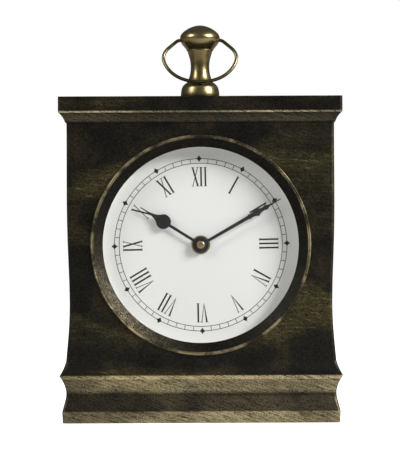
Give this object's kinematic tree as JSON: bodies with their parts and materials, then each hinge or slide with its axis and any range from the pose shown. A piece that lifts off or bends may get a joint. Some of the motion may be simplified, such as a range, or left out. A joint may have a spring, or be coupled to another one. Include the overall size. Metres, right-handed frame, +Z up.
{
  "type": "carriage clock",
  "caption": "Square mantel clock with a moulded antique brass case, a round white dial with Roman numerals, black hands, and a turned finial with a hanging oval bow.",
  "frame": {"origin": "middle of the bottom of the felt, on the surface the clock stands on", "axes": "+Z up, +Y from the dial to the back, +X to the right of someone who faces the dial"},
  "size_m": [0.2272, 0.0792, 0.3212],
  "materials": {
    "antique_casting": "cast, antique brass finish: near-black brown patina rubbed through to dull gold on ridges and in streaks",
    "antique_bezel": "spun, antique brass finish, circular brushing, bright rubbed lip",
    "polished_brass": "turned and polished antique brass, darker in the hollows",
    "brass_fittings": "plain bright brass",
    "zinc_steel": "zinc plated",
    "black_steel": "sheet steel, fine matt black paint",
    "baize": "dark green self-adhesive felt",
    "magnet": "sintered ferrite, matt dark grey",
    "clear_glass": "flat clear glass",
    "white_card": "white card strip",
    "white_dial": "satin white enamel paint",
    "black_rubber": "moulded",
    "black_enamel": "satin black paint",
    "movement_plastic": "moulded black ABS, fine texture",
    "gear_plastic": "natural acetal",
    "motor_iron": "stamped soft iron",
    "copper_wire": "enamelled copper wire, fine windings",
    "circuit_laminate": "green glass-epoxy laminate",
    "battery_sleeve": "AA cell, plain dark foil sleeve with a copper-coloured end"
  },
  "bodies": {
    "case": {"plinth": "antique_casting", "case_body": "antique_casting", "cornice": "antique_casting", "cornice_screws": "zinc_steel", "plinth_screws": "zinc_steel", "base_plate": "black_steel", "base_screws": "zinc_steel", "base_felt": "baize", "back_panel": "black_steel", "panel_screws": "zinc_steel", "panel_hinge_leaf": "brass_fittings", "panel_hinge_rivets": "brass_fittings", "hinge_pin": "zinc_steel", "magnet_catch": "magnet", "bezel": "antique_bezel", "bezel_snap_ring": "zinc_steel", "glass": "clear_glass", "dial_spacer": "white_card", "dial_plate": "white_dial", "dial_snap_ring": "zinc_steel", "dial_washer": "brass_fittings", "dial_nut": "brass_fittings", "rubber_washer": "black_rubber", "movement_housing": "movement_plastic", "movement_cover": "movement_plastic", "middle_plate": "gear_plastic", "stator": "motor_iron", "coil_core": "motor_iron", "coil": "copper_wire", "circuit_board": "circuit_laminate", "quartz_crystal": "zinc_steel", "driver_chip": "movement_plastic", "battery": "battery_sleeve", "positive_contact": "zinc_steel", "negative_contact": "zinc_steel", "finial_base": "polished_brass", "finial_post": "polished_brass", "finial_stud": "zinc_steel", "finial_washer": "zinc_steel", "finial_nut": "zinc_steel"},
    "minute_hand": {"minute_arbor": "brass_fittings", "minute_hand": "black_enamel", "hand_nut": "brass_fittings"},
    "hour_hand": {"hour_wheel": "gear_plastic", "hour_hand": "black_enamel"},
    "minute_wheel": {"minute_wheel": "gear_plastic"},
    "setting_knob": {"setting_knob": "movement_plastic"},
    "centre_wheel": {"centre_wheel": "gear_plastic"},
    "third_wheel": {"third_wheel": "gear_plastic"},
    "seconds_wheel": {"seconds_wheel": "gear_plastic"},
    "intermediate_wheel": {"intermediate_wheel": "gear_plastic"},
    "rotor": {"rotor": "magnet"},
    "back_door": {"back_door": "black_steel", "door_hinge_leaf": "brass_fittings", "door_hinge_rivets": "brass_fittings", "door_knob": "brass_fittings", "door_knob_nut": "zinc_steel"},
    "bow": {"bow": "polished_brass"}
  },
  "joints": [
    {"name": "minute_hand_turn", "type": "hinge", "parent": "case", "child": "minute_hand", "pos_m": [0, 0, 0.1427], "axis": [0, 1, 0], "continuous": true},
    {"name": "hour_hand_turn", "type": "hinge", "parent": "case", "child": "hour_hand", "pos_m": [0, 0, 0.1427], "axis": [0, 1, 0], "continuous": true},
    {"name": "minute_wheel_turn", "type": "hinge", "parent": "case", "child": "minute_wheel", "pos_m": [-0.0052, 0, 0.1457], "axis": [0, 1, 0], "continuous": true},
    {"name": "setting_knob_turn", "type": "hinge", "parent": "case", "child": "setting_knob", "pos_m": [-0.01039, 0, 0.1487], "axis": [0, 1, 0], "continuous": true},
    {"name": "seconds_wheel_turn", "type": "hinge", "parent": "case", "child": "seconds_wheel", "pos_m": [0.0139, 0, 0.15205], "axis": [0, 1, 0], "continuous": true},
    {"name": "third_wheel_turn", "type": "hinge", "parent": "case", "child": "third_wheel", "pos_m": [0.0054, 0, 0.15205], "axis": [0, 1, 0], "continuous": true},
    {"name": "centre_wheel_turn", "type": "hinge", "parent": "case", "child": "centre_wheel", "pos_m": [0, 0, 0.1427], "axis": [0, 1, 0], "continuous": true},
    {"name": "intermediate_wheel_turn", "type": "hinge", "parent": "case", "child": "intermediate_wheel", "pos_m": [0.0174, 0, 0.15812], "axis": [0, 1, 0], "continuous": true},
    {"name": "rotor_turn", "type": "hinge", "parent": "case", "child": "rotor", "pos_m": [0.0135, 0, 0.16037], "axis": [0, 1, 0], "continuous": true},
    {"name": "back_door_hinge", "type": "hinge", "parent": "case", "child": "back_door", "pos_m": [-0.0618, 0.02975, 0.144], "axis": [0, 0, 1], "range_deg": [0, 120]},
    {"name": "bow_swing", "type": "hinge", "parent": "case", "child": "bow", "pos_m": [0, 0, 0.309], "axis": [1, 0, 0], "range_deg": [-315, 0]}
  ],
  "couplings": [
    {"joint": "hour_hand_turn", "follows": "minute_hand_turn", "ratio": 0.083333},
    {"joint": "minute_wheel_turn", "follows": "minute_hand_turn", "ratio": -0.33333},
    {"joint": "setting_knob_turn", "follows": "minute_hand_turn", "ratio": 1},
    {"joint": "third_wheel_turn", "follows": "seconds_wheel_turn", "ratio": -0.13333},
    {"joint": "centre_wheel_turn", "follows": "seconds_wheel_turn", "ratio": 0.016667},
    {"joint": "intermediate_wheel_turn", "follows": "seconds_wheel_turn", "ratio": -6},
    {"joint": "rotor_turn", "follows": "seconds_wheel_turn", "ratio": 30}
  ]
}
